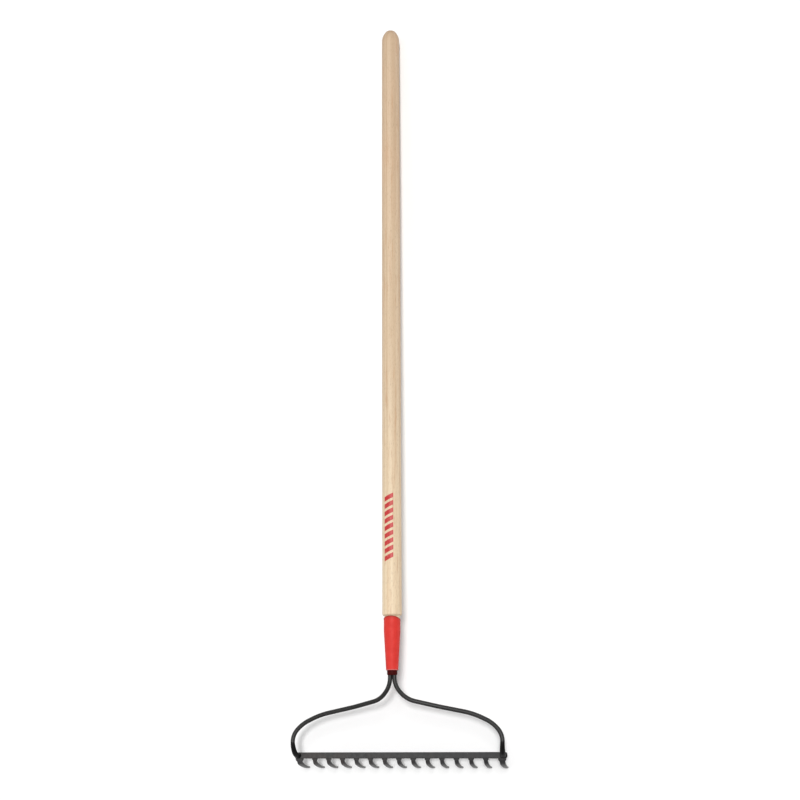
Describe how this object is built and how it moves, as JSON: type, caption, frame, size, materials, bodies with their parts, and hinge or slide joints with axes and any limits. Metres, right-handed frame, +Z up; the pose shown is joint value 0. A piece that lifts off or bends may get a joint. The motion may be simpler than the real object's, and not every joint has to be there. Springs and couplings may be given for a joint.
{
  "type": "bow rake",
  "caption": "Long-handled bow rake: ash handle, tapered red ferrule, two bent steel rods forming a bow, and a flat toothed bar.",
  "frame": {"origin": "centre of the box's bottom face, on the floor that the rake lies on, resting on its tine tips and the butt of its handle", "axes": "+Y from the toothed bar towards the butt of the handle, +X along the bar, +Z up, away from the floor"},
  "size_m": [0.406, 1.5528, 0.1107],
  "materials": {
    "ash_wood": "smooth turned ash, clear lacquer",
    "red_paint": "gloss enamel on steel",
    "nose_steel": "dark lacquered steel",
    "black_rod": "black lacquer on round steel",
    "forged_bar": "dark grey scale and lacquer on forged steel",
    "pin_steel": "bright drawn wire"
  },
  "bodies": {
    "root": {"handle": "ash_wood", "ferrule": "red_paint", "ferrule_nose": "nose_steel", "ferrule_pin": "pin_steel", "bow_rod_right": "black_rod", "bow_rod_left": "black_rod", "end_lug_right": "black_rod", "end_lug_left": "black_rod", "rake_bar": "forged_bar", "tine_01": "forged_bar", "tine_02": "forged_bar", "tine_03": "forged_bar", "tine_04": "forged_bar", "tine_05": "forged_bar", "tine_06": "forged_bar", "tine_07": "forged_bar", "tine_08": "forged_bar", "tine_09": "forged_bar", "tine_10": "forged_bar", "tine_11": "forged_bar", "tine_12": "forged_bar", "tine_13": "forged_bar", "tine_14": "forged_bar", "tine_15": "forged_bar"}
  },
  "joints": []
}
